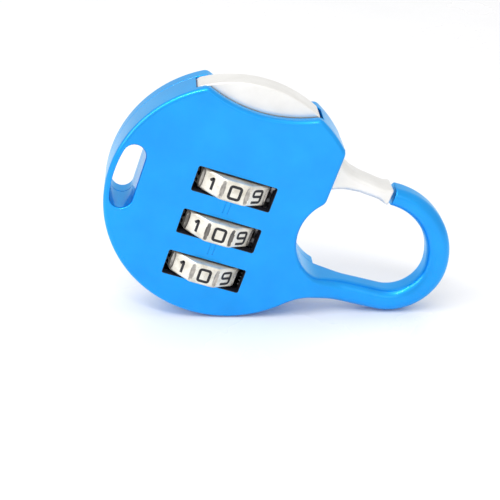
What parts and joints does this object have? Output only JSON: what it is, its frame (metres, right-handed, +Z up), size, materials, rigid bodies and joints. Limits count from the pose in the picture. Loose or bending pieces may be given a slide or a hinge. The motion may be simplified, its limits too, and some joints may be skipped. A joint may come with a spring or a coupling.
{
  "type": "combination padlock",
  "caption": "Round combination padlock with a carabiner hook, a spring-loaded thumb lever as its gate, number dials across its face and a key-ring slot.",
  "frame": {"origin": "centre of the bounding box on the surface that the padlock stands on, with its rim and its hook touching that surface", "axes": "+X along the lock towards the hook, +Y from the front face to the back cover, +Z up"},
  "size_m": [0.061, 0.0136, 0.0429],
  "materials": {
    "housing_paint": "gloss metallic",
    "cover_paint": "gloss metallic",
    "lever_silver": "satin",
    "plain_steel": "satin",
    "spring_steel": "bright",
    "dial_silver": "satin",
    "tumbler_brass": "satin",
    "plunger_silver": "satin"
  },
  "bodies": {
    "housing": {"front_housing": "housing_paint", "back_cover": "cover_paint", "lever_pin": "plain_steel", "lever_spring": "spring_steel", "bar_spring": "spring_steel", "shaft_spring": "spring_steel", "detent_spring": "spring_steel", "detent_screws": "plain_steel", "cover_rivets": "plunger_silver"},
    "lever": {"lever": "lever_silver"},
    "locking_bar": {"locking_bar": "plain_steel"},
    "shaft_set": {"dial_shaft": "plain_steel", "shaft_clips": "spring_steel", "reset_plunger": "plunger_silver"},
    "dial_1": {"dial_1": "dial_silver"},
    "dial_2": {"dial_2": "dial_silver"},
    "dial_3": {"dial_3": "dial_silver"},
    "tumbler_1": {"tumbler_1": "tumbler_brass"},
    "tumbler_2": {"tumbler_2": "tumbler_brass"},
    "tumbler_3": {"tumbler_3": "tumbler_brass"}
  },
  "joints": [
    {"name": "lever_turn", "type": "hinge", "parent": "housing", "child": "lever", "pos_m": [-0.01295, 0, 0.03942], "axis": [0, 1, 0], "range_deg": [0, 12], "stiffness_Nm_per_rad": 0.02, "springref_deg": -20.05, "deforming": ["lever_spring"]},
    {"name": "bar_slide", "type": "slide", "parent": "housing", "child": "locking_bar", "axis": [-0.2923, 0, -0.9563], "range_m": [0, 0.00281], "deforming": ["bar_spring"]},
    {"name": "reset_push", "type": "slide", "parent": "housing", "child": "shaft_set", "axis": [0.2923, 0, 0.9563], "range_m": [0, 0.0006], "stiffness_N_per_m": 300, "springref_m": -0.001, "deforming": ["shaft_spring"]},
    {"name": "dial_1_spin", "type": "hinge", "parent": "housing", "child": "dial_1", "pos_m": [-0.00848, 0, 0.02479], "axis": [0.2923, 0, 0.9563], "continuous": true, "deforming": ["detent_spring"]},
    {"name": "dial_2_spin", "type": "hinge", "parent": "housing", "child": "dial_2", "pos_m": [-0.01086, 0, 0.01699], "axis": [0.2923, 0, 0.9563], "continuous": true},
    {"name": "dial_3_spin", "type": "hinge", "parent": "housing", "child": "dial_3", "pos_m": [-0.01324, 0, 0.0092], "axis": [0.2923, 0, 0.9563], "continuous": true},
    {"name": "tumbler_1_spin", "type": "hinge", "parent": "shaft_set", "child": "tumbler_1", "pos_m": [-0.00848, 0, 0.02479], "axis": [0.2923, 0, 0.9563], "continuous": true},
    {"name": "tumbler_2_spin", "type": "hinge", "parent": "shaft_set", "child": "tumbler_2", "pos_m": [-0.01086, 0, 0.01699], "axis": [0.2923, 0, 0.9563], "continuous": true},
    {"name": "tumbler_3_spin", "type": "hinge", "parent": "shaft_set", "child": "tumbler_3", "pos_m": [-0.01324, 0, 0.0092], "axis": [0.2923, 0, 0.9563], "continuous": true}
  ],
  "couplings": [
    {"joint": "bar_slide", "follows": "lever_turn", "m_per_rad": 0.013369},
    {"joint": "tumbler_1_spin", "follows": "dial_1_spin", "ratio": 1},
    {"joint": "tumbler_2_spin", "follows": "dial_2_spin", "ratio": 1},
    {"joint": "tumbler_3_spin", "follows": "dial_3_spin", "ratio": 1}
  ]
}
